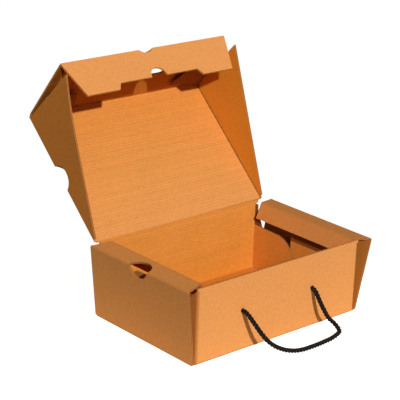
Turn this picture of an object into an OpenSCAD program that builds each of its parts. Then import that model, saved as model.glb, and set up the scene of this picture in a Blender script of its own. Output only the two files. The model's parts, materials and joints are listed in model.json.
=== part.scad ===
// Corrugated shoe box, folded from one blank, with a hinged lid as deep as the tray,
// rolled ends, and a cord handle on the front wall. It stands open, as on a table.
// Lengths are millimetres. X runs along the front, Y to the back, Z up.
// The origin is the middle of the underside of the tray.

/* [Board] */
// Thickness of the corrugated board
board_t = 2.8; // [1.8:0.1:3.6]
// Inside radius of a fold
fold_r = 0.6; // [0.4:0.1:1.2]
// Gap between a crease and the edge of the flap that swings on it
crease_gap = 0.3; // [0.25:0.05:0.5]

/* [Tray] */
// Width over the end walls at the base
tray_w = 332; // [280:1:400]
// Depth over the front and back walls
tray_d = 224; // [200:1:280]
// Height of the front wall
tray_h = 117; // [105:1:150]
// Room between an end wall and the front wall's dust flap
end_room = 2.7; // [2.6:0.1:6]
// Room between the front and the back wall's dust flaps, where they lie side by side
layer_room = 0.6; // [0.4:0.1:2]
// Height of a dust flap's underside over the tray's floor
dust_lift = 0.8; // [0.5:0.1:3]
// Reach of a front dust flap along the end wall
front_dust_len = 140; // [90:1:150]
// Reach of a back dust flap along the end wall
back_dust_len = 92; // [70:1:110]
// Height of the back dust flaps
back_dust_h = 75; // [50:1:95]
// Height of the front dust flap at the left end
left_dust_h = 100; // [60:1:105]
// Height of the front dust flap at the right end
right_dust_h = 86; // [60:1:88]
// How far below the front wall's top a dust flap starts at its fold
dust_root_drop = 5; // [3:1:12]
// Slit between the top of a dust flap and the wall above it
dust_slit = 1.2; // [0.6:0.1:2.4]
// Length over which a dust flap slopes down to its height
dust_slope = 12; // [6:1:14]
// Radius at the free end of a back dust flap
back_dust_r = 38; // [10:1:45]
// Radius at the free end of a front dust flap
front_dust_r = 6; // [2:1:20]

/* [End flaps] */
// Lean of the left end wall, outward from upright
left_lean = 5.8; // [2:0.1:9]
// Lean of the right end wall, outward from upright
right_lean = 13.3; // [4:0.1:15]
// How far the end walls stop short of the tray's depth at each side
end_inset = 1; // [0.5:0.1:4]
// Drop of an upright end wall's rolled top below the front wall's top
end_drop = 0.5; // [0.4:0.1:4]
// Width of the rolled top of an end
end_top_w = 32; // [22:1:45]
// Turn of the left fold from wall to top
left_top_turn = 90; // [85:1:100]
// Turn of the right fold from wall to top
right_top_turn = 98; // [88:1:104]
// Turn of the left fold from top to inner flap
left_inner_turn = 78; // [60:1:90]
// Turn of the right fold from top to inner flap
right_inner_turn = 68; // [55:1:85]
// Length of the inner flap that hangs from the rolled top
inner_flap_len = 26; // [15:1:40]
// Room between the rolled top's ends and the front and back walls
top_room = 0.8; // [0.6:0.1:3]
// Mitre at each end of the rolled top
end_mitre = 8; // [6:1:20]
// Taper at each end of the inner flap
inner_taper = 10; // [2:1:15]
// Length of the finger hole across the left end's upper fold
finger_len = 42; // [30:1:70]
// Reach of the finger hole into the end wall
finger_wall = 16.5; // [8:0.5:22]
// Reach of the finger hole into the rolled top
finger_top = 21; // [8:0.5:22]

/* [Lid] */
// Opening of the lid from closed
lid_open = 137.5; // [100:0.5:160]
// Room between the closed lid and the tray's top
lid_room = 0.4; // [0.3:0.1:2]
// Room between the closed lid's sides and the end walls
side_room = 1.2; // [1:0.1:4]
// Room in front of the tray for the lid's dust flaps, besides their board
dust_room = 0.9; // [0.6:0.1:4]
// Room between the lid's dust flaps and its front wall
wall_room = 0.5; // [0.3:0.1:2]
// Length of the lid's front wall
lid_front_len = 115; // [80:1:115]
// Lean of the lid's front wall, outward from square
lid_front_lean = 6; // [2:0.5:10]
// Taper of the lid's front wall at each side
lid_front_taper = 6; // [0:0.5:12]
// Depth of the lid's sides at the front
lid_side_depth = 115; // [80:1:116]
// Start of the lid's sides, from the hinge
lid_side_start = 4; // [3:0.5:20]
// Lean of the lid's left side, inward from square
left_side_lean = 5; // [0:0.5:8]
// Lean of the lid's right side, outward from square
right_side_lean = 4; // [0:0.5:10]
// Reach of the lid's dust flaps behind its front wall
lid_dust_len = 75; // [40:1:110]
// Lower edge of the lid's dust flaps, from the lid's middle plane
lid_dust_depth = 54; // [30:1:55]
// Slope at the free end of the lid's dust flaps
lid_dust_slope = 16; // [0:1:25]
// Relief of the lid's dust flaps at their free end, so that they clear the lid as its sides lean
lid_dust_relief = 12; // [10:1:20]
// Length of the notch across the lid's left crease
lid_notch_len = 44; // [30:1:70]
// Reach of that notch into the lid and into its side
lid_notch_reach = 18; // [8:0.5:22]
// Length of the handle's slot in the lid's front wall
slot_len = 140; // [60:1:180]
// Height of the handle's slot
slot_h = 16; // [8:0.5:24]
// Middle of the handle's slot, from the lid's middle plane
slot_depth = 57; // [40:1:75]

/* [Front flap] */
// Angle between the lid's front wall and the flap at its free edge
front_flap_angle = 83; // [60:1:100]
// Length of the front flap
front_flap_len = 58; // [40:1:60]
// Taper of the front flap at each end
front_flap_taper = 18; // [5:1:30]
// Bevel under the front flap's fold, so that it can swing past square
front_flap_bevel = 18; // [16:1:30]
// Length of the recess along the front flap's edge
recess_len = 166; // [80:1:220]
// Depth of that recess
recess_depth = 11; // [4:0.5:20]
// Slope at each end of the recess
recess_slope = 7; // [2:0.5:15]
// Radius of the half-round notch in the middle of the recess
notch_r = 15; // [8:0.5:20]
// Length of the finger notch across the front flap's fold
fold_notch_len = 26; // [15:1:40]
// Reach of the finger notch into the front wall and the flap
fold_notch_reach = 7; // [3:0.5:12]

/* [Handle] */
// Diameter of the cord
cord_d = 6; // [4:0.1:7]
// Middle of the two cord holes, from the middle of the front wall
cord_x = -4; // [-20:1:20]
// Spacing of the two cord holes
cord_spacing = 140; // [110:1:170]
// Height of the cord holes
cord_z = 63; // [50:1:75]
// Lowest point of the cord over the ground
cord_lift = 0.25; // [0.2:0.05:1]
// Clearance of the cord in its holes, all round
cord_clear = 0.5; // [0.3:0.1:1.5]
// Wraps of the knot at each end of the cord
knot_wraps = 3; // [2:1:5]
// Length of the cord's tail behind each knot
knot_tail = 9; // [4:1:20]

/* [Hidden] */
$fn = 64;

kraft = [0.86, 0.6, 0.36];
kraft_shade = [0.8, 0.54, 0.3];
black = [0.09, 0.08, 0.08];

// Middle plane and fold radii of the board
half_t = board_t / 2;
bend_mid = fold_r + half_t;
bend_out = fold_r + board_t;
crease_start = half_t + crease_gap;
// Overlap of a fold with the panels that it joins
seam = 0.02;
// Length by which cutters run past what they cut
past = 1;

// Crease lines of the end walls
end_x = tray_w / 2 - half_t;
end_z = half_t;
end_d = tray_d - 2 * end_inset;
end_wall_len = tray_h - end_drop - half_t - end_z;
// Half widths of the front and back walls over their dust flaps
front_half = tray_w / 2 - board_t - end_room;
back_half = front_half - board_t - layer_room;
// Length of wall or floor that a corner piece shares with its neighbour
corner_lap = 12;
dust_base = board_t + dust_lift;

// The lid's hinge, its side creases and its front corner, all in the middle plane of the board
hinge_y = tray_d / 2 - half_t;
hinge_z = tray_h + lid_room + half_t;
side_x = tray_w / 2 + side_room + half_t;
lid_dust_y = hinge_y + tray_d / 2 + dust_room + half_t;
lid_front_y = lid_dust_y + board_t + wall_room;
lid_front_half = side_x - half_t;
lid_edge_half = lid_front_half - lid_front_taper;
lid_notch_y = lid_front_y / 2;

// Loop of the cord in front of the wall, drawn for one spacing and height of the holes:
// across, out from the wall, and up
loop_spacing = 140;
loop_z = 63;
cord_loop = [
    [-70, 1, 63], [-71, 8, 63.2], [-71.8, 15, 61], [-71.4, 21.5, 56.2], [-70, 28, 50],
    [-68, 34.5, 43], [-65.2, 40.8, 35.8], [-60.6, 46.2, 28.6], [-53.5, 50.2, 22], [-44, 52.8, 16],
    [-33.5, 54.8, 11], [-22.5, 56.2, 7.4], [-11.5, 57.4, 5], [0, 58.3, 3.6], [12, 58.6, 3.3],
    [23.5, 58.6, 3.3], [34.5, 58.2, 3.3], [45.5, 57.6, 3.6], [56, 57, 4.2], [66, 56, 5.4],
    [75, 54, 6.6], [82.4, 50, 6.9], [87, 42.4, 8.6], [85, 34.8, 14.6], [78.8, 31.6, 21],
    [73.8, 30, 28], [70.8, 27.4, 35.4], [69.2, 23, 42.6], [68.4, 18.2, 49.6], [68.2, 13.4, 56.4],
    [69, 7.6, 61.4], [70, 1, 63]
];
// Route of the cord from one knot to the other, with the ends on the wall's inner face
wall_in = -tray_d / 2 + board_t;
cord_r = cord_d / 2;
cord_sides = 10;
cord_route = concat(
    [[cord_x - cord_spacing / 2, wall_in, cord_z]],
    [for (p = cord_loop)
        [cord_x + p[0] * cord_spacing / loop_spacing, -tray_d / 2 - p[1],
            max(p[2] * cord_z / loop_z, cord_r + cord_lift)]],
    [[cord_x + cord_spacing / 2, wall_in, cord_z]]
);

// Radius of a finger hole's edge from its length on the fold and its reach into one panel
function lens_r(length, reach) = (length * length / 4 + reach * reach) / (2 * reach);

function unit(v) = v / norm(v);

// Direction of a route at one of its points
function heading(route, i) =
    unit(route[min(i + 1, len(route) - 1)] - route[max(i - 1, 0)]);

// Ring of points across a route, with its first axis kept as level as it can be
function ring(route, i) =
    let (ahead = heading(route, i), across = unit(cross([0.2, 0.3, 1], ahead)), up = cross(ahead, across))
    [for (k = [0 : cord_sides - 1])
        let (a = 360 * k / cord_sides)
        route[i] + cord_r * (cos(a) * across + sin(a) * up)];

// Section of a bent sheet's fold, turning from +X, to the left where turn is positive
module fold_section(turn) {
    side = sign(turn);
    reach = 3 * bend_out;
    span = abs(turn);
    translate([0, side * bend_mid])
        mirror([0, side > 0 ? 0 : 1])
            intersection() {
                difference() {
                    circle(bend_out);
                    circle(fold_r);
                }
                polygon([[0, 0], for (k = [0 : 2]) reach * [sin(span * k / 2), -cos(span * k / 2)]]);
            }
}

// Section of a folded sheet: straight runs between corners of the middle plane, with a turn at each
module sheet_section(runs, turns, start = 0, i = 0) {
    last = i == len(runs) - 1;
    before = i == 0 ? start : bend_mid * tan(abs(turns[i - 1]) / 2);
    after = last ? 0 : bend_mid * tan(abs(turns[i]) / 2);
    translate([before - (i == 0 ? 0 : seam), -half_t])
        square([runs[i] - before - after + (i == 0 ? 0 : seam) + (last ? 0 : seam), board_t]);
    if (!last) {
        translate([runs[i] - after, 0]) fold_section(turns[i]);
        translate([runs[i], 0]) rotate(turns[i]) sheet_section(runs, turns, start, i + 1);
    }
}

// Extrudes a section drawn in Y and Z along X, to both sides of the middle
module along_x(width) {
    rotate([90, 0, 90]) linear_extrude(width, center = true) children();
}

// Extrudes a section drawn in X and Z along Y, to both sides of the middle
module along_y(depth) {
    rotate([90, 0, 0]) linear_extrude(depth, center = true) children();
}

// Places what is drawn round the hinge with the lid closed
module lid_place() {
    translate([0, hinge_y, hinge_z]) rotate([-lid_open, 0, 0]) children();
}

// Places what is drawn round the corner of the lid's front wall, with the wall hanging straight down
module lid_front_place() {
    translate([0, -lid_front_y, 0]) rotate([-lid_front_lean, 0, 0]) children();
}

// Tray

// Upper part of the front wall beside and above its dust flaps
module wall_top(base, top) {
    translate([-front_half, -tray_d / 2, base]) cube([2 * front_half, board_t, top - base]);
}

module tray_floor() {
    // The rounded long edges are the creases of the end walls
    translate([0, 0, half_t]) {
        cube([2 * end_x, tray_d - 2 * bend_out, board_t], center = true);
        for (s = [-1, 1])
            translate([s * end_x, 0, 0]) rotate([90, 0, 0])
                cylinder(r = half_t, h = tray_d - 2 * bend_out, center = true);
    }
}

module front_wall() {
    wall_top(tray_h - dust_root_drop + dust_slit, tray_h);
    difference() {
        along_x(2 * (front_half - half_t - bend_mid) + 2 * seam)
            translate([-tray_d / 2 + half_t, tray_h]) rotate(-90)
                sheet_section([tray_h - half_t, corner_lap], [90]);
        for (s = [-1, 1])
            translate([cord_x + s * cord_spacing / 2, -tray_d / 2 + half_t, cord_z]) rotate([90, 0, 0])
                cylinder(r = cord_r + cord_clear, h = board_t + 2 * past, center = true);
    }
}

module back_wall() {
    // The rounded top edge is the crease of the lid
    along_x(2 * (back_half - half_t - bend_mid) + 2 * seam)
        translate([hinge_y, hinge_z]) rotate(-90)
            sheet_section([hinge_z - half_t, corner_lap], [-90]);
    mirror([0, 1, 0]) wall_top(tray_h - dust_root_drop + dust_slit, hinge_z);
    along_x(tray_w) translate([hinge_y, hinge_z]) circle(half_t);
}

// Right dust flap of a wall at the front, bent back round the corner of the tray
module dust_flap(half_w, reach) {
    intersection() {
        linear_extrude(tray_h)
            translate([half_w - half_t - corner_lap, -tray_d / 2 + half_t])
                sheet_section([corner_lap, reach - half_t], [90]);
        along_x(tray_w) translate([-tray_d / 2, dust_base]) children();
    }
}

// Outline of a dust flap, from its fold: high there, sloping down, with a round corner at its end
module dust_outline(reach, height, tip_r) {
    low = height - dust_base;
    root = tray_h - dust_root_drop - dust_base;
    polygon([[0, 0], [reach - tip_r, 0], [reach - tip_r, low],
        [bend_out + dust_slope, low], [bend_out, root], [0, root]]);
    translate([reach - tip_r - seam, 0]) square([tip_r + seam, low - tip_r]);
    translate([reach - tip_r, low - tip_r]) circle(tip_r);
}

module tray() {
    color(kraft) {
        tray_floor();
        front_wall();
        back_wall();
        for (s = [0, 1])
            mirror([s, 0, 0]) {
                dust_flap(front_half, front_dust_len)
                    dust_outline(front_dust_len, s == 0 ? right_dust_h : left_dust_h, front_dust_r);
                mirror([0, 1, 0])
                    dust_flap(back_half, back_dust_len)
                        dust_outline(back_dust_len, back_dust_h, back_dust_r);
            }
    }
}

// End flaps

// Plan of a rolled end, drawn for the right end: full at the wall, mitred along the top
module end_plan() {
    half_d = end_d / 2;
    inner = end_top_w + inner_flap_len;
    top_d = tray_d / 2 - board_t - top_room;
    mitre_d = top_d - end_mitre;
    taper_d = mitre_d - inner_taper;
    polygon([[board_t, -half_d], [board_t, half_d], [-half_t, half_d], [-half_t, top_d],
        [-end_top_w, mitre_d], [-inner, taper_d], [-inner, -taper_d], [-end_top_w, -mitre_d],
        [-half_t, -top_d], [-half_t, -half_d]]);
}

// Finger hole across the upper fold of a rolled end
module finger_hole() {
    wall_r = lens_r(finger_len, finger_wall);
    top_r = lens_r(finger_len, finger_top);
    thick = bend_out + 2 * past;
    translate([-bend_mid - past, 0, end_wall_len + half_t + wall_r - finger_wall])
        rotate([0, 90, 0]) cylinder(r = wall_r, h = thick);
    translate([half_t + top_r - finger_top, 0, end_wall_len - bend_mid - past])
        cylinder(r = top_r, h = thick);
}

// Right end, upright on its crease: wall, rolled top and the inner flap that hangs from it
module end_flap(top_turn, inner_turn) {
    intersection() {
        along_y(end_d)
            rotate(90)
                sheet_section([end_wall_len, end_top_w - half_t, inner_flap_len],
                    [top_turn, inner_turn], crease_start);
        linear_extrude(2 * tray_h) end_plan();
    }
}

module left_end_flap() {
    color(kraft_shade)
        mirror([1, 0, 0])
            translate([end_x, 0, end_z]) rotate([0, left_lean, 0])
                difference() {
                    end_flap(left_top_turn, left_inner_turn);
                    finger_hole();
                }
}

module right_end_flap() {
    color(kraft_shade)
        translate([end_x, 0, end_z]) rotate([0, right_lean, 0])
            end_flap(right_top_turn, right_inner_turn);
}

// Lid

module lid_panel() {
    // The rounded sides are the creases of the lid's side flaps
    turn = 90 - lid_front_lean;
    length = lid_front_y - bend_mid * tan(turn / 2);
    translate([0, -(crease_start + length) / 2, 0]) {
        cube([2 * side_x, length - crease_start, board_t], center = true);
        for (s = [-1, 1])
            translate([s * side_x, 0, 0]) rotate([90, 0, 0])
                cylinder(r = half_t, h = length - crease_start, center = true);
    }
}

module lid_front_wall() {
    turn = 90 - lid_front_lean;
    difference() {
        along_x(2 * lid_front_half)
            translate([-lid_front_y + corner_lap, 0]) rotate(180)
                sheet_section([corner_lap, lid_front_len], [turn]);
        lid_front_place() {
            for (s = [0, 1])
                mirror([s, 0, 0])
                    rotate([90, 0, 0]) linear_extrude(2 * bend_out, center = true)
                        polygon([[lid_front_half, -2 * bend_out], [lid_edge_half, -lid_front_len],
                            [lid_edge_half, -lid_front_len - past],
                            [lid_front_half + past, -lid_front_len - past],
                            [lid_front_half + past, -2 * bend_out]]);
            rotate([90, 0, 0]) linear_extrude(2 * bend_out, center = true)
                translate([0, -slot_depth]) slot_outline();
            fold_notch_cut();
        }
    }
}

module slot_outline() {
    end_r = slot_h / 2;
    square([slot_len - slot_h, slot_h], center = true);
    for (s = [-1, 1])
        translate([s * (slot_len / 2 - end_r), 0]) circle(end_r);
}

// Finger notch in the lid's front wall, at the fold of the front flap
module fold_notch_cut() {
    r = lens_r(fold_notch_len, fold_notch_reach);
    translate([0, 0, -lid_front_len - r + fold_notch_reach])
        rotate([90, 0, 0]) cylinder(r = r, h = 2 * bend_out, center = true);
}

module lid() {
    r = lens_r(lid_notch_len, lid_notch_reach);
    color(kraft)
        lid_place()
            difference() {
                union() {
                    lid_panel();
                    lid_front_wall();
                }
                translate([-side_x - half_t - r + lid_notch_reach, -lid_notch_y, 0])
                    cylinder(r = r, h = board_t + 2 * past, center = true);
            }
}

// Outline of a lid side in Y and Z, hanging from its crease
module lid_side_outline() {
    front = lid_dust_y - bend_mid;
    polygon([[-lid_side_start, -crease_start], [-front, -crease_start], [-front, -lid_side_depth],
        [-lid_side_start, -crease_start - board_t]]);
}

// Dust flap of the right lid side, folded in behind the front wall
module lid_dust_flap() {
    top = crease_start + dust_lift;
    intersection() {
        mirror([0, 0, 1]) linear_extrude(lid_dust_depth)
            translate([0, -lid_dust_y + corner_lap]) rotate(-90)
                sheet_section([corner_lap, lid_dust_len - half_t], [-90]);
        rotate([90, 0, 0]) linear_extrude(2 * lid_dust_y, center = true)
            polygon([[board_t, -top], [board_t, -lid_dust_depth],
                [-lid_dust_len + lid_dust_slope, -lid_dust_depth], [-lid_dust_len, -top - lid_dust_relief]]);
    }
}

// Right side of the lid, hanging from its crease along Y
module lid_side() {
    along_x(board_t) lid_side_outline();
    lid_dust_flap();
}

// Places a right lid side on its crease, leaning outward
module lid_side_place(lean) {
    translate([side_x, 0, 0]) rotate([0, -lean, 0]) children();
}

module lid_left_side() {
    r = lens_r(lid_notch_len, lid_notch_reach);
    color(kraft_shade)
        lid_place() mirror([1, 0, 0]) lid_side_place(-left_side_lean)
            difference() {
                lid_side();
                translate([0, -lid_notch_y, half_t + r - lid_notch_reach]) rotate([0, 90, 0])
                    cylinder(r = r, h = board_t + 2 * past, center = true);
            }
}

module lid_right_side() {
    color(kraft_shade) lid_place() lid_side_place(right_side_lean) lid_side();
}

// Outline of the front flap: X along the fold, Y from the fold to the free edge
module front_flap_outline() {
    tip = front_flap_len;
    tip_half = lid_edge_half - front_flap_taper;
    recess_half = recess_len / 2;
    recess_y = tip - recess_depth;
    difference() {
        polygon([[-lid_edge_half, -board_t], [lid_edge_half, -board_t], [lid_edge_half, 0], [tip_half, tip],
            [recess_half, tip], [recess_half - recess_slope, recess_y], [recess_slope - recess_half, recess_y],
            [-recess_half, tip], [-tip_half, tip], [-lid_edge_half, 0]]);
        translate([0, recess_y]) circle(notch_r);
        translate([0, fold_notch_reach - board_t - lens_r(fold_notch_len, fold_notch_reach)])
            circle(lens_r(fold_notch_len, fold_notch_reach));
    }
}

// Front flap lying on the inner face of the front wall, with its crease along X
module front_flap() {
    low = board_t + past;
    difference() {
        translate([0, crease_gap + board_t, 0]) rotate([90, 0, 0])
            linear_extrude(board_t) front_flap_outline();
        along_x(tray_w)
            polygon([[crease_gap, 0], [crease_gap + low * tan(front_flap_bevel), -low],
                [crease_gap - past, -low], [crease_gap - past, 0]]);
    }
}

module lid_front_flap() {
    // The crease is the inner edge of the front wall's free end
    color(kraft)
        lid_place() lid_front_place()
            translate([0, half_t, -lid_front_len]) rotate([-front_flap_angle, 0, 0]) front_flap();
}

// Handle

module handle_cord() {
    count = len(cord_route);
    faces = [
        [for (k = [0 : cord_sides - 1]) k],
        for (i = [0 : count - 2], k = [0 : cord_sides - 1])
            let (a = i * cord_sides, b = a + cord_sides, next = (k + 1) % cord_sides)
            [a + k, b + k, b + next, a + next],
        [for (k = [cord_sides - 1 : -1 : 0]) (count - 1) * cord_sides + k]
    ];
    color(black)
        polyhedron([for (i = [0 : count - 1]) each ring(cord_route, i)], faces, convexity = 6);
}

// Barrel knot along +Y, with its face at the origin, and the tail of the cord behind it
module knot() {
    pitch = 0.85 * cord_d;
    length = (knot_wraps - 1) * pitch + cord_d;
    rotate([-90, 0, 0]) {
        rotate_extrude()
            intersection() {
                union() {
                    square([cord_r, length]);
                    for (k = [0 : knot_wraps - 1])
                        translate([cord_r, cord_r + k * pitch]) circle(cord_r);
                }
                square([2 * cord_d, length]);
            }
        cylinder(r = cord_r, h = length + knot_tail);
    }
}

module handle_knots() {
    color(black)
        for (s = [-1, 1])
            translate([cord_x + s * cord_spacing / 2, wall_in, cord_z]) knot();
}

tray();
left_end_flap();
right_end_flap();
lid();
lid_left_side();
lid_right_side();
lid_front_flap();
handle_cord();
handle_knots();
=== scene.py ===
import json
import math

import bmesh
import bpy
from mathutils import Matrix, Vector
from mathutils.bvhtree import BVHTree


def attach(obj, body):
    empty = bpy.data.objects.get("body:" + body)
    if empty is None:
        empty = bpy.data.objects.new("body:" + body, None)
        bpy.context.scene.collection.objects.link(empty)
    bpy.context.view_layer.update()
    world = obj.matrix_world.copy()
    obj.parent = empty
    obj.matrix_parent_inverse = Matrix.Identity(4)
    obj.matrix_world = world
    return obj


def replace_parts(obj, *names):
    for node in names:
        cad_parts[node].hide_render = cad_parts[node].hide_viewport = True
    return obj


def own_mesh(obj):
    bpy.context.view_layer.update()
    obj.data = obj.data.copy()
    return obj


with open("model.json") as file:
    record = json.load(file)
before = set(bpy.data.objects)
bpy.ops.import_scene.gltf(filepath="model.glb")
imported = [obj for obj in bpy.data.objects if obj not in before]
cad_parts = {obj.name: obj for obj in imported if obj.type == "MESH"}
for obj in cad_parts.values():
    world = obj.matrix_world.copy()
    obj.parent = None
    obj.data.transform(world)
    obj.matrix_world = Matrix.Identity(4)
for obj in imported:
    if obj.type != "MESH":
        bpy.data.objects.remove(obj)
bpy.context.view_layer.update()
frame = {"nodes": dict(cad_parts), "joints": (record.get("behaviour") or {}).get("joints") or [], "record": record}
scene = bpy.context.scene
mm = 0.001
xAxis, yAxis, zAxis = Vector((1, 0, 0)), Vector((0, 1, 0)), Vector((0, 0, 1))
bodyOf = {node: body for body, nodes in frame["record"]["behaviour"]["bodies"].items() for node in nodes}
print("frame loaded:", len(frame["nodes"]), "nodes")


def addPiece(name, mesh, paints, node):
    data = bpy.data.meshes.new(name)
    mesh.to_mesh(data)
    mesh.free()
    for paint in paints:
        data.materials.append(paint)
    piece = bpy.data.objects.new(name, data)
    scene.collection.objects.link(piece)
    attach(piece, bodyOf[node])
    return piece


# Camera

camera = {
    "target": (-0.063095, 0, 0.195447),
    "distance": 2.210273,
    "azimuth": -41.765,    # from the front, to the left
    "elevation": 19.535,
    "roll": 2.092,
    "lens": 136.74,
    "sensor": 36,
}


def makeCamera(look):
    azimuth, elevation, roll = (math.radians(look[k]) for k in ("azimuth", "elevation", "roll"))
    back = Vector((math.sin(azimuth) * math.cos(elevation),
                   -math.cos(azimuth) * math.cos(elevation), math.sin(elevation)))
    level = zAxis.cross(back).normalized()
    upright = back.cross(level)
    right = math.cos(roll) * level + math.sin(roll) * upright
    data = bpy.data.cameras.new("photoView")
    data.lens, data.sensor_width = look["lens"], look["sensor"]
    data.clip_end = 20
    made = bpy.data.objects.new("photoView", data)
    turn = Matrix((right, back.cross(right), back)).transposed().to_4x4()
    made.matrix_world = Matrix.Translation(Vector(look["target"]) + look["distance"] * back) @ turn
    scene.collection.objects.link(made)
    scene.camera = made


makeCamera(camera)
print("camera set")


# Shader helpers

class Sock:                # one output of a node, so that shader maths reads as Python
    def __init__(self, paint, out):
        self.paint = paint
        self.out = out

    def maths(self, operation, *others):
        return self.paint.node("ShaderNodeMath", {"operation": operation}, dict(enumerate((self, *others))))

    def __add__(self, other):
        return self.maths("ADD", other)

    def __mul__(self, other):
        return self.maths("MULTIPLY", other)

    def __sub__(self, other):
        return self.maths("SUBTRACT", other)

    def __rsub__(self, other):
        return self * -1 + other

    __radd__ = __add__
    __rmul__ = __mul__


class Paint:               # the nodes of one material, or of the world
    def __init__(self, owner):
        self.owner = owner
        owner.use_nodes = True
        self.tree = owner.node_tree
        self.tree.nodes.clear()

    def node(self, kind, settings, inputs, out=0):
        made = self.tree.nodes.new(kind)
        for key, value in settings.items():
            setattr(made, key, value)
        for key, value in inputs.items():
            if isinstance(value, Sock):
                self.tree.links.new(value.out, made.inputs[key])
            else:
                made.inputs[key].default_value = value
        return Sock(self, made.outputs[out]) if made.outputs else made

    def place(self):
        return self.node("ShaderNodeTexCoord", {}, {}, "Object")

    def attribute(self, name):
        return self.node("ShaderNodeAttribute", {"attribute_name": name}, {}, "Fac")

    def toCamera(self):
        return self.node("ShaderNodeLightPath", {}, {}, "Is Camera Ray")

    def speckle(self, where, scale, detail=4.0, rough=0.6):
        return self.node("ShaderNodeTexNoise", {},
                         {"Vector": where, "Scale": scale, "Detail": detail, "Roughness": rough})

    def remap(self, value, low, high, toLow=0.0, toHigh=1.0):
        return self.node("ShaderNodeMapRange", {}, {"Value": value, "From Min": low, "From Max": high,
                                                    "To Min": toLow, "To Max": toHigh})

    def mixed(self, factor, first, second, blend="MIX"):
        return self.node("ShaderNodeMix", {"data_type": "RGBA", "blend_type": blend, "clamp_factor": True},
                         {0: factor, 6: first, 7: second}, 2)

    def grey(self, value):
        return self.node("ShaderNodeCombineColor", {}, {0: value, 1: value, 2: value})

    def bump(self, height, distance, strength):
        return self.node("ShaderNodeBump", {},
                         {"Height": height, "Distance": distance, "Strength": strength})

    def finish(self, surface, output="ShaderNodeOutputMaterial"):
        self.node(output, {}, {"Surface": surface})
        return self.owner

    def principled(self, inputs):
        return self.finish(self.node("ShaderNodeBsdfPrincipled", {}, inputs))


# Handle cord: three strands laid into a rope, through the front wall and back

cord = {
    "route": [             # metres, from knot to knot
        (-0.0740, -0.1092, 0.0630), (-0.0740, -0.1130, 0.0630), (-0.0750, -0.1200, 0.0632),
        (-0.0758, -0.1270, 0.0610), (-0.0754, -0.1335, 0.0562), (-0.0740, -0.1400, 0.0500),
        (-0.0720, -0.1465, 0.0430), (-0.0692, -0.1528, 0.0358), (-0.0646, -0.1582, 0.0286),
        (-0.0575, -0.1622, 0.0220), (-0.0480, -0.1648, 0.0160), (-0.0375, -0.1668, 0.0110),
        (-0.0265, -0.1682, 0.0074), (-0.0155, -0.1694, 0.0050), (-0.0040, -0.1703, 0.0039),
        (0.0080, -0.1706, 0.0037), (0.0195, -0.1706, 0.0037), (0.0305, -0.1702, 0.0037),
        (0.0415, -0.1696, 0.0039), (0.0520, -0.1690, 0.0042), (0.0620, -0.1680, 0.0054),
        (0.0710, -0.1660, 0.0066), (0.0784, -0.1620, 0.0069), (0.0830, -0.1544, 0.0086),
        (0.0810, -0.1468, 0.0146), (0.0748, -0.1436, 0.0210), (0.0698, -0.1420, 0.0280),
        (0.0668, -0.1394, 0.0354), (0.0652, -0.1350, 0.0426), (0.0644, -0.1302, 0.0496),
        (0.0642, -0.1254, 0.0564), (0.0650, -0.1196, 0.0614), (0.0660, -0.1130, 0.0630),
        (0.0660, -0.1092, 0.0630),
    ],
    "diameter": 6 * mm,
    "strands": 3,
    "strandRadius": 2.04 * mm,
    "strandOffset": 1.58 * mm,
    "twist": 17 * mm,      # length of one turn of the strands
    "plies": 5,            # yarns that show round one strand
    "step": 0.9 * mm,
    "sides": 12,
    "wallFace": -0.112,    # outer face of the front wall
    "pressed": 0.01,       # share of its reach that is left when the lid is shut over it
    "tone": (0.0045, 0.0035, 0.0035, 1),
    "worn": (0.020, 0.016, 0.015, 1),
}
knot = {
    "wraps": 3,
    "radius": 3.2 * mm,    # of the wraps' middle line
    "pitch": 5.1 * mm,
    "start": 3.0 * mm,     # first wrap, from the wall's inner face
    "tail": 25.2 * mm,     # end of the tail, from the wall's inner face
    "steps": 10,           # points in one wrap
    "leadIn": [(0, 0.4), (0.6, 0.75)],       # shares of the radius and the start, before the wraps
    "leadOut": [(0.6, 0.25), (0, 0.6)],      # and after them
    "sway": [(0, 0.3 * mm), (0.8 * mm, -0.2 * mm)],    # of the tail's middle and end, in x and z
}


def blackCord(look):
    paint = Paint(bpy.data.materials.new("blackCord"))
    fuzz = paint.speckle(paint.place(), 1400, 3)
    yarn = (paint.attribute("ply") * math.tau).maths("SINE")
    worn = paint.remap(fuzz + yarn * 0.12, 0.42, 0.72)
    return paint.principled({
        "Base Color": paint.mixed(worn, look["tone"], look["worn"]),
        "Roughness": paint.remap(fuzz, 0.3, 0.7, 0.55, 0.8),
        "Specular IOR Level": 0.2,
        "Normal": paint.bump(yarn + fuzz * 0.8, 0.15 * mm, 0.7),
    })


def smoothRoute(points, step):
    points = [Vector(p) for p in points]
    ends = [2 * points[0] - points[1], *points, 2 * points[-1] - points[-2]]
    made = [points[0]]
    for a, b, c, d in zip(ends, ends[1:], ends[2:], ends[3:]):
        count = max(2, round((c - b).length / step))
        for k in range(1, count + 1):
            t = k / count
            made.append(0.5 * (2 * b + (c - a) * t + (2 * a - 5 * b + 4 * c - d) * t ** 2
                               + (3 * b - a - 3 * c + d) * t ** 3))
    return made


def routeLength(path):
    return sum((b - a).length for a, b in zip(path, path[1:]))


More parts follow.
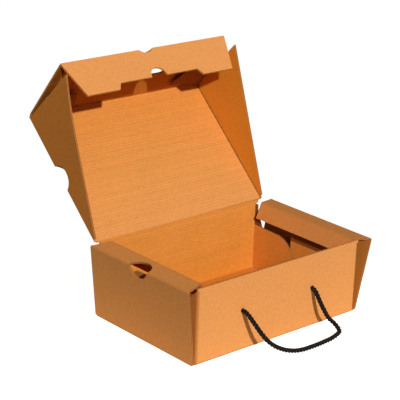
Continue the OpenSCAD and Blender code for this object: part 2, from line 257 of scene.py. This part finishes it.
def addRope(mesh, path, look):
    ply = mesh.loops.layers.float.get("ply") or mesh.loops.layers.float.new("ply")
    sides, radius = look["sides"], look["strandRadius"]
    turns = [math.tau * j / sides for j in range(sides)]
    strands = [[] for _ in range(look["strands"])]
    side, gone = None, 0.0
    for i, point in enumerate(path):
        head = (path[min(i + 1, len(path) - 1)] - path[max(i - 1, 0)]).normalized()
        side = head.orthogonal() if side is None else side - head * side.dot(head)
        side.normalize()
        gone += (point - path[max(i - 1, 0)]).length
        for k, rings in enumerate(strands):
            out = Matrix.Rotation(math.tau * (gone / look["twist"] + k / look["strands"]), 3, head) @ side
            middle = point + look["strandOffset"] * out
            across = head.cross(out)
            spots = [middle + radius * (math.cos(a) * out + math.sin(a) * across) for a in turns]
            rings.append((gone, [mesh.verts.new(p) for p in spots]))
    for rings in strands:
        for (fromA, a), (fromB, b) in zip(rings, rings[1:]):
            for j in range(sides):
                n = (j + 1) % sides
                face = mesh.faces.new((a[j], a[n], b[n], b[j]))
                face.smooth = True
                for loop, far, turn in zip(face.loops, (fromA, fromA, fromB, fromB), (j, j + 1, j + 1, j)):
                    loop[ply] = look["plies"] * turn / sides + far / look["twist"] * look["strands"]
        mesh.faces.new(reversed(rings[0][1]))
        mesh.faces.new(rings[-1][1])


def knotPaths(start, look, thread):
    turns = [math.tau * k / look["steps"] for k in range((look["wraps"] - 1) * look["steps"] + 1)]
    helix = [Vector((look["radius"] * math.cos(a), look["start"] + look["pitch"] * a / math.tau,
                     look["radius"] * math.sin(a))) for a in turns]
    last = helix[-1]
    inward = [Vector((look["radius"] * x, look["start"] * y, 0)) for x, y in look["leadIn"]]
    outward = [Vector((last.x * x, last.y + look["start"] * y, 0)) for x, y in look["leadOut"]]
    (halfX, halfZ), (endX, endZ) = look["sway"]
    core = [(0, 0, 0), (halfX, look["tail"] / 2, halfZ), (endX, look["tail"], endZ)]
    routes = [*inward, *helix, *outward], core
    return [[start + p for p in smoothRoute(route, thread["step"])] for route in routes]


def makeHandle(thread, look):
    paints = [blackCord(thread)]
    knots = bmesh.new()
    for end in (thread["route"][0], thread["route"][-1]):
        for path in knotPaths(Vector(end), look, thread):
            addRope(knots, path, thread)
    knots = addPiece("handleKnots", knots, paints, "handle_knots")
    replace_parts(knots, "handle_knots")
    path = smoothRoute(thread["route"], thread["step"])
    rope = bmesh.new()
    addRope(rope, path, thread)
    rope = addPiece("handleCord", rope, paints, "handle_cord")
    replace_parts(rope, "handle_cord")
    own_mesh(rope)
    routeLength(path)
    print("cord made:", round(routeLength(path) / mm), "mm")


makeHandle(cord, knot)


# Kraft board

board = {
    "thick": 2.8 * mm,
    "pitch": 4.9 * mm,     # of the flutes
    "creaseLap": 0.9 * mm,
    "tone": (0.80, 0.332, 0.098, 1),
    # a more saturated tone for inside faces; on the lid it rises from the hinge to the front as painted shade
    "innerTone": (0.76, 0.284, 0.050, 1),
    "shade": (0.68, 0.258, 0.060, 1),
    "deep": (0.42, 0.135, 0.012, 1),     # painted shade: the tone a face is mixed towards where it lies in shade
    # painted shade, for inside faces
    "deepInner": (0.66, 0.225, 0.012, 1),
    "paperEdge": (0.70, 0.29, 0.085, 1),
    # painted shade: the dark face between the paper edges at a cut stands in for the shaded hollows of the flutes
    "core": (0.30, 0.11, 0.03, 1),
    "linerThick": 0.34 * mm,
    "mediumThick": 0.28 * mm,
    "mediumSwing": 0.62,   # of the fluted sheet, as a share of half the thickness
    "edgeProud": 0.22 * mm,
    "edgeSunk": 0.055 * mm,
    "fluteSteps": 8,
    "foldTone": (0.70, 0.28, 0.08, 1),
    "outsideRibs": 0.15,   # how far the flutes show outside, as a share of the inside
    "creaseShade": 1.0,    # of the painted shade line along the lid's right crease
    "endShade": 0.9,       # of the painted shade on the left end of the lid's front wall
    "flapShade": 1.2,      # of the painted shadow on the right dust flaps, under the rolled end
}
sorting = {                # how the faces of a folded sheet are told apart
    "panelArea": 400 * mm * mm,    # a larger face is a panel
    "flat": 0.9995,        # least cosine between a flat face and a panel
    "thickSlack": 0.2,     # shares of the board's thickness
    "creaseReach": 1.25,
    "lapReach": 0.9,
    "lapFacing": 0.95,     # least cosines
    "sameSide": 0.5,
    "mostly": 0.7,         # of a normal that looks along an axis
}


def kraftLiner(look):
    paint = Paint(bpy.data.materials.new("kraftLiner"))
    where = paint.place()
    inner = paint.attribute("inner")
    wave = (paint.attribute("flute") * math.tau).maths("SINE")
    patch = paint.remap(paint.speckle(where, 20, 2), 0.35, 0.65)
    ribs = paint.attribute("ribs")
    ridge = paint.remap(wave, 0.3, 1.0) * ribs * (patch * 0.6 + 0.4)
    streak = paint.node("ShaderNodeTexNoise", {"noise_dimensions": "1D"},
                        {"W": paint.attribute("flute"), "Scale": 0.6})
    warp = paint.node("ShaderNodeTexNoise", {"noise_dimensions": "1D"},
                      {"W": paint.attribute("flute"), "Scale": 0.13, "Detail": 1.0})
    blotch = paint.speckle(where, 14, 4)
    grain = paint.speckle(where, 260, 5, 0.8)
    fleck = paint.remap(paint.speckle(where, 1100, 2), 0.60, 0.72)
    light = (blotch - 0.5) * 0.22 + (grain - 0.5) * 0.65 - fleck * 0.12 + 1.02
    # painted shadow darkens the liner under the rolled end, at the left end of the lid's front wall and along the
    # lid's right crease
    light = light - ridge * 0.10 + (streak - 0.5) * ribs * 0.14 - paint.attribute("paintedShadow") * 0.6
    tone = paint.mixed(inner, look["tone"], look["innerTone"])
    tone = paint.mixed(paint.remap(blotch, 0.3, 0.7, 0, 0.3), tone, look["shade"])
    # painted shade: the tone is mixed towards a darker one where a face lies in shade
    tone = paint.mixed(paint.attribute("deep"), tone, paint.mixed(inner, look["deep"], look["deepInner"]))
    return paint.principled({
        "Base Color": paint.mixed(1.0, tone, paint.grey(light), "MULTIPLY"),
        "Roughness": paint.remap(grain, 0.3, 0.7, 0.74, 0.92),
        "Specular IOR Level": 0.05,
        "Normal": paint.bump(wave * (ribs * 0.5 + 0.1) + warp * ribs * 14 + grain * 0.6, 0.12 * mm, 0.6),
    })


# painted shade of the flutes' hollows, on every cut face
def fluteHollowShade(look):
    paint = Paint(bpy.data.materials.new("fluteHollowShade"))
    grain = paint.speckle(paint.place(), 900, 3)
    return paint.principled({
        "Base Color": paint.mixed(1.0, look["core"], paint.grey(grain * 0.6 + 0.7), "MULTIPLY"),
        "Roughness": 0.92,
        "Specular IOR Level": 0.05,
        "Normal": paint.bump(grain, 0.2 * mm, 0.5),
    })


def paperEdge(look):
    paint = Paint(bpy.data.materials.new("paperEdge"))
    fibre = paint.speckle(paint.place(), 1300, 4, 0.7)
    return paint.principled({
        "Base Color": paint.mixed(1.0, look["paperEdge"], paint.grey(fibre * 0.6 + 0.7), "MULTIPLY"),
        "Roughness": 0.9,
        "Specular IOR Level": 0.05,
        "Normal": paint.bump(fibre, 0.1 * mm, 0.6),
    })


def foldedKraft(look):
    paint = Paint(bpy.data.materials.new("foldedKraft"))
    where = paint.place()
    grain = paint.speckle(where, 480, 5, 0.7)
    crack = paint.remap(paint.speckle(where, 160, 4, 0.75), 0.55, 0.70)
    # painted shade on the folds too
    tone = paint.mixed(paint.attribute("deep"), look["foldTone"], look["deep"])
    light = (grain - 0.5) * 0.4 - crack * 0.16 + 1.0
    return paint.principled({
        "Base Color": paint.mixed(1.0, tone, paint.grey(light), "MULTIPLY"),
        "Roughness": 0.88,
        "Specular IOR Level": 0.05,
        "Normal": paint.bump(grain + crack * -0.6, 0.2 * mm, 0.6),
    })


boardPaints = [kraftLiner(board), fluteHollowShade(board), foldedKraft(board)]
edgePaints = [paperEdge(board)]
liner, cut, fold = range(3)

# Each piece of the blank: the way its flutes run, the way its inside faces, how far its flutes show
# through, how much of the inner tone its inside has (from the hinge to the front; the lid's rise is painted
# shade), how much painted shade darkens its paper (all over, and inside, to the left, at the lid's front
# wall or towards the floor), where painted shadow starts and ends on the lid, and the crease it meets
boardPieces = {
    "tray": {"piece": "trayBoard", "flutes": "along", "inside": (0, 0, 1), "ribs": 1.0,
             "inner": (1.0, 1.0), "deep": 0.0, "lowPaintedShade": 0.45, "leftPaintedShade": 0.6},
    "left_end_flap": {"piece": "leftEndBoard", "flutes": "around", "inside": (1, 0, 0), "ribs": 0.3,
                      "inner": (1.0, 1.0), "deep": 0.26, "meets": "left_end_crease"},
    "right_end_flap": {"piece": "rightEndBoard", "flutes": "around", "inside": (-1, 0, 0), "ribs": 0.3,
                       "inner": (0.2, 0.2), "deep": 0.32, "insidePaintedShade": 0.75, "meets": "right_end_crease"},
    "lid": {"piece": "lidBoard", "flutes": "along", "inside": (0, -0.68, 0.74), "ribs": 1.0,
            "inner": (0.1, 1.0), "deep": 0.0, "frontPaintedShade": 0.85, "frontInner": 0.2, "meets": "lid_hinge",
            "creaseShadowFrom": 165 * mm, "endShadowUpTo": -148 * mm},
    "lid_left_side": {"piece": "lidLeftBoard", "flutes": "down", "inside": (1, 0, 0), "ribs": 0.3,
                      "inner": (1.0, 1.0), "deep": 0.76, "meets": "lid_left_crease", "springs": True},
    "lid_right_side": {"piece": "lidRightBoard", "flutes": "down", "inside": (-1, 0, 0), "ribs": 0.1,
                       "inner": (1.0, 1.0), "deep": 0.3, "insidePaintedShade": 0.68},
    "lid_front_flap": {"piece": "lidFrontBoard", "flutes": "along", "inside": (0, 0.69, -0.73), "ribs": 0.3,
                       "inner": (1.0, 1.0), "deep": 0.0},
}
lidDepth = 225 * mm        # from the hinge to the lid's front wall
wallHeight = 117 * mm
bow = {                    # of the lid's loose left side
    "reach": 6 * mm,
    "heldFrom": 0.55,      # share of the lid's depth
    "strips": 16,
}
root = {                   # of the right back dust flap, in y and z
    "from": 150 * mm,      # in x
    "slack": 0.2 * mm,
    "top": (108.6 * mm, 112 * mm),
    "foot": (96.6 * mm, 75 * mm),
    "splits": (0.4, 0.5),  # where the slope gets its two new points
    "raised": [(104.6 * mm, 111.5 * mm), (103.8 * mm, 98.5 * mm), (92.5 * mm, 76 * mm)],
}
shades = [                 # lower and upper corners of the parts of the right dust flaps that get painted shadow, under the rolled end
    ((150 * mm, 80 * mm, 77 * mm), (200 * mm, 120 * mm, 130 * mm)),
    ((150 * mm, -115 * mm, 73 * mm), (200 * mm, 40 * mm, 130 * mm)),
]
creases = {j["name"]: (Vector(j["pos_m"]), Vector(j["axis"]).normalized()) for j in frame["joints"]}
lidSlope = creases["lid_right_crease"][1]


def fluteRun(kind, normal):
    if kind == "around":
        return normal.cross(yAxis)
    if kind == "down":
        return xAxis.cross(lidSlope)
    return yAxis if abs(normal.x) > sorting["mostly"] else xAxis


def creaseDistance(point):
    return min((point - start).cross(axis).length for start, axis in creases.values())


def sortFaces(mesh):
    tree = BVHTree.FromBMesh(mesh)
    middle = {}
    for loops in mesh.calc_loop_triangles():
        corners = [loop.vert.co for loop in loops]
        size = (corners[1] - corners[0]).cross(corners[2] - corners[0]).length
        if size > middle.get(loops[0].face, (0,))[0]:
            middle[loops[0].face] = (size, sum(corners, Vector()) / 3)
    panels = [f.normal.copy() for f in mesh.faces if f.calc_area() > sorting["panelArea"]]
    rounds = set()         # faces of the creases, where the sheet turns over its edge
    for face in mesh.faces:
        start = middle[face][1] if face in middle else face.calc_center_median()
        depth = tree.ray_cast(start - face.normal * 1e-5, -face.normal)[3]
        if max(creaseDistance(v.co) for v in face.verts) < sorting["creaseReach"] * board["thick"]:
            face.material_index = fold
            rounds.add(face)
        elif depth is None or abs(depth - board["thick"]) > sorting["thickSlack"] * board["thick"]:
            face.material_index = cut
        else:
            flat = max(abs(face.normal.dot(panel)) for panel in panels) > sorting["flat"]
            face.material_index = liner if flat else fold
    return rounds


def sheetSides(mesh, inside, rounds):
    side = {}
    for first in sorted(mesh.faces, key=lambda f: -f.calc_area()):
        if first.material_index != liner or first in side:
            continue
        value = 1.0 if first.normal.dot(inside) > 0 else -1.0
        side[first] = value
        queue = [first]
        while queue:
            face = queue.pop()
            for edge in face.edges:
                for other in edge.link_faces:
                    level = other.normal.dot(face.normal) > sorting["sameSide"]
                    if level and other.material_index != cut and other not in rounds and other not in side:
                        side[other] = value
                        queue.append(other)
    return side


def meetCrease(mesh, start, axis):    # runs the board on into its crease, as one sheet
    for face in mesh.faces:
        toward = start - face.calc_center_median()
        toward -= axis * toward.dot(axis)
        reach = sorting["lapReach"] * board["thick"]
        near = all((v.co - start).cross(axis).length < reach for v in face.verts)
        if near and face.normal.dot(toward.normalized()) > sorting["lapFacing"]:
            for vert in face.verts:
                vert.co += board["creaseLap"] * face.normal


def alongLid(point):
    return (point - creases["lid_hinge"][0]).dot(lidSlope) / lidDepth


def cutAcross(mesh, faces, normal, point):
    parts = {*faces, *(e for f in faces for e in f.edges), *(v for f in faces for v in f.verts)}
    bmesh.ops.bisect_plane(mesh, geom=list(parts), dist=1e-6, plane_no=normal, plane_co=point)


def cutStrips(mesh, look):            # so that a side can bow
    for k in range(1, look["strips"]):
        point = creases["lid_hinge"][0] + lidSlope * lidDepth * k / look["strips"]
        cutAcross(mesh, mesh.faces, lidSlope, point)


def springSide(mesh, look):           # bows out towards its free edge, but is held at the front
    down = xAxis.cross(lidSlope)
    start = creases["lid_left_crease"][0]
    deepest = max((v.co - start).dot(down) for v in mesh.verts)
    for vert in mesh.verts:
        held = max(0, min(1, (alongLid(vert.co) - look["heldFrom"]) / (1 - look["heldFrom"])))
        vert.co.x -= look["reach"] * (1 - held ** 2) * max(0, (vert.co - start).dot(down) / deepest)


def raiseRoot(mesh, look):            # the right back dust flap runs on further along its fold
    def near(vert, y, z):
        off = max(abs(vert.co.y - y), abs(vert.co.z - z))
        return vert.co.x > look["from"] and off < look["slack"]

    slopes = [e for e in mesh.edges if any(near(v, *look["foot"]) for v in e.verts)
              and any(near(v, *look["top"]) for v in e.verts)]
    for edge in slopes:
        foot = next(v for v in edge.verts if near(v, *look["foot"]))
        upper = bmesh.utils.edge_split(edge, edge.other_vert(foot), look["splits"][0])[1]
        lower = bmesh.utils.edge_split(edge, foot, look["splits"][1])[1]
        for vert, (y, z) in zip((upper, lower, foot), look["raised"]):
            vert.co.y, vert.co.z = y, z
    print("dust flap's slope:", len(slopes), "edges")


def cutShades(mesh):
    for corner, _ in shades:
        flaps = [f for f in mesh.faces if all(v.co.x > corner[0] for v in f.verts)]
        cutAcross(mesh, flaps, zAxis, zAxis * corner[2])


def inShade(point):
    return any(all(a < p < b for a, p, b in zip(corner, point, far)) for corner, far in shades)


def nearest(point, edges):
    found = []
    for edge in edges:
        a, b = (v.co for v in edge.verts)
        share = max(0, min(1, (point - a).dot(b - a) / (b - a).length_squared))
        found.append(a.lerp(b, share))
    return min(found, key=lambda p: (p - point).length)


def addRib(ribs, rows):               # a closed strip of paper edge through rows of four corners
    rings = [[ribs.verts.new(p) for p in row] for row in rows]
    for a, b in zip(rings, rings[1:]):
        for k in range(4):
            ribs.faces.new((a[k], a[(k + 1) % 4], b[(k + 1) % 4], b[k]))
    ribs.faces.new(rings[0])
    ribs.faces.new(reversed(rings[-1]))


def ribRow(middle, across, width, out):
    half = across * width / 2
    low, high = out * -board["edgeSunk"], out * board["edgeProud"]
    return [middle - half + low, middle + half + low, middle + half + high, middle - half + high]


def cutEdges(mesh, side, flute):      # both liners and the fluted sheet between them, along every cut
    ribs = bmesh.new()
    for face in mesh.faces:
        if face.material_index != cut:
            continue
        edges = {1.0: [], -1.0: []}
        for edge in face.edges:
            for other in edge.link_faces:
                if other in side:
                    edges[side[other]].append(edge)
        if not (edges[1.0] and edges[-1.0]):
            continue
        width = board["linerThick"]
        for value, group in edges.items():
            for edge in group:
                ends = [v.co for v in edge.verts]
                ways = [(nearest(p, edges[-value]) - p).normalized() for p in ends]
                addRib(ribs, [ribRow(p + w * width / 2, w, width, face.normal) for p, w in zip(ends, ways)])
        for edge in edges[1.0]:
            a, b = edge.verts
            first, last = (next(loop[flute] for loop in face.loops if loop.vert == v) for v in (a, b))
            count = max(1, math.ceil(abs(last - first) * board["fluteSteps"]))
            rows = []
            for k in range(count + 1):
                point = a.co.lerp(b.co, k / count)
                reach = nearest(point, edges[-1.0]) - point
                swing = math.sin(math.tau * (first + (last - first) * k / count))
                middle = point + reach * (1 + board["mediumSwing"] * swing) / 2
                rows.append(ribRow(middle, reach.normalized(), board["mediumThick"], face.normal))
            addRib(ribs, rows)
    bmesh.ops.recalc_face_normals(ribs, faces=ribs.faces)
    return ribs


def paintedShadeKind(normal, inside):       # which painted shade a face gets, by the way it faces
    if inside:
        return "frontPaintedShade" if abs(normal.dot(lidSlope)) > sorting["mostly"] else "insidePaintedShade"
    return "leftPaintedShade" if normal.x < -0.3 else "deep"


# how dark a face's painted shadow is: under the rolled end, at the left end of the lid's front wall, and along the
# lid's right crease
def paintedShadowLevel(node, look, middle, normal, inside, kind):
    if node == "tray" and inShade(middle) and abs(normal.x) > 0.5:
        return board["flapShade"]
    if kind == "frontPaintedShade" and "endShadowUpTo" in look and middle.x < look["endShadowUpTo"]:
        return board["endShade"]
    if inside and kind != "frontPaintedShade" and "creaseShadowFrom" in look and middle.x > look["creaseShadowFrom"]:
        return board["creaseShade"]
    return 0.0


def markPaper(mesh, node, look, side):    # what the liner's material reads at each corner of a face
    names = ("flute", "inner", "deep", "ribs", "paintedShadow")
    layers = {name: mesh.loops.layers.float.new(name) for name in names}
    start, end = look["inner"]
    for face in mesh.faces:
        middle = face.calc_center_median()
        for loop in face.loops:
            point = loop.vert.co
            near = [f for f in loop.vert.link_faces if f in side and f.material_index != cut]
            sheet = max(near, key=lambda f: f.calc_area()) if near else face
            normal = face.normal if face.material_index == liner else sheet.normal
            run = fluteRun(look["flutes"], normal)
            inside = side.get(face, side.get(sheet, 1.0)) > 0
            kind = paintedShadeKind(normal, inside)
            inner = start + (end - start) * alongLid(point) if inside else 0.0
            deep = look.get(kind, look["deep"])
            if kind == "frontPaintedShade":
                inner *= look.get("frontInner", 1.0)
            # painted shade: the tray's inside grows darker towards its floor
            if inside and "lowPaintedShade" in look:
                deep += look["lowPaintedShade"] * max(0, 1 - point.z / wallHeight)
            loop[layers["flute"]] = point.dot(normal.cross(run).normalized()) / board["pitch"]
            loop[layers["inner"]] = inner
            loop[layers["deep"]] = deep
            loop[layers["ribs"]] = look["ribs"] * (1.0 if inside else board["outsideRibs"])
            loop[layers["paintedShadow"]] = paintedShadowLevel(node, look, middle, normal, inside, kind)
    return layers["flute"]


def makeBoard(node, look):
    mesh = bmesh.new()
    mesh.from_mesh(frame["nodes"][node].data)
    bmesh.ops.remove_doubles(mesh, verts=mesh.verts, dist=2e-6)
    bmesh.ops.dissolve_limit(mesh, angle_limit=math.radians(0.3), verts=mesh.verts, edges=mesh.edges)
    if node == "tray":
        raiseRoot(mesh, root)
        cutShades(mesh)
    # the lid is cut where its painted shadows start and end
    for name in ("creaseShadowFrom", "endShadowUpTo"):
        if name in look:
            cutAcross(mesh, mesh.faces, xAxis, xAxis * look[name])
    if "springs" in look:
        cutStrips(mesh, bow)
    mesh.normal_update()
    rounds = sortFaces(mesh)
    if "meets" in look:
        meetCrease(mesh, *creases[look["meets"]])
    side = sheetSides(mesh, Vector(look["inside"]), rounds)
    flute = markPaper(mesh, node, look, side)
    if "springs" in look:
        springSide(mesh, bow)
    edges = cutEdges(mesh, side, flute)
    for edge in mesh.edges:
        edge.smooth = all(f.material_index == fold for f in edge.link_faces)
    for face in mesh.faces:
        face.smooth = True
    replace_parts(addPiece(look["piece"], mesh, boardPaints, node), node)
    addPiece(look["piece"] + "Edges", edges, edgePaints, node)


for node, look in boardPieces.items():
    makeBoard(node, look)
    print("board made:", node)


# Floor, light and background

stage = {
    "floors": {            # a white sheet under the box, and the dim room round it; white to the camera
        "paleSheet": {"size": 0.56, "tone": 0.80, "glow": 0.90, "level": -0.3 * mm},
        "paleFloor": {"size": 8.0, "tone": 0.05, "glow": 1.0, "level": -0.8 * mm},
    },
    "sunFrom": (-0.36, -0.81, 0.46),
    "sunPower": 2.95,
    "sunAngle": 1.6,
    "sky": (1.0, 0.93, 0.84, 1),
    "skyPower": 0.2,
}


def makeFloor(name, look):
    paint = Paint(bpy.data.materials.new(name))
    matt = paint.node("ShaderNodeBsdfDiffuse", {}, {"Color": (look["tone"], look["tone"], look["tone"], 1)})
    glow = paint.node("ShaderNodeEmission", {}, {"Strength": look["glow"]})
    white = paint.node("ShaderNodeAddShader", {}, {0: matt, 1: glow})
    paint.finish(paint.node("ShaderNodeMixShader", {}, {0: paint.toCamera(), 1: matt, 2: white}))
    half = look["size"] / 2
    data = bpy.data.meshes.new(name)
    corners = [(-half, -half, 0), (half, -half, 0), (half, half, 0), (-half, half, 0)]
    data.from_pydata(corners, [], [(0, 1, 2, 3)])
    data.materials.append(paint.owner)
    floor = bpy.data.objects.new(name, data)
    floor.location.z = look["level"]
    scene.collection.objects.link(floor)


def makeStage(look):
    for name, floor in look["floors"].items():
        makeFloor(name, floor)

    sun = bpy.data.lights.new("sun", "SUN")
    sun.energy, sun.angle = look["sunPower"], math.radians(look["sunAngle"])
    lamp = bpy.data.objects.new("sun", sun)
    lamp.rotation_mode = "QUATERNION"
    lamp.rotation_quaternion = Vector(look["sunFrom"]).to_track_quat("Z", "Y")
    scene.collection.objects.link(lamp)

    sky = Paint(bpy.data.worlds.new("sky"))
    light = [look["skyPower"] * c for c in look["sky"]]
    tone = sky.mixed(sky.toCamera(), light, (1, 1, 1, 1))
    background = sky.node("ShaderNodeBackground", {}, {"Color": tone})
    scene.world = sky.finish(background, "ShaderNodeOutputWorld")
    scene.view_settings.view_transform = "Standard"


makeStage(stage)
print("stage set")
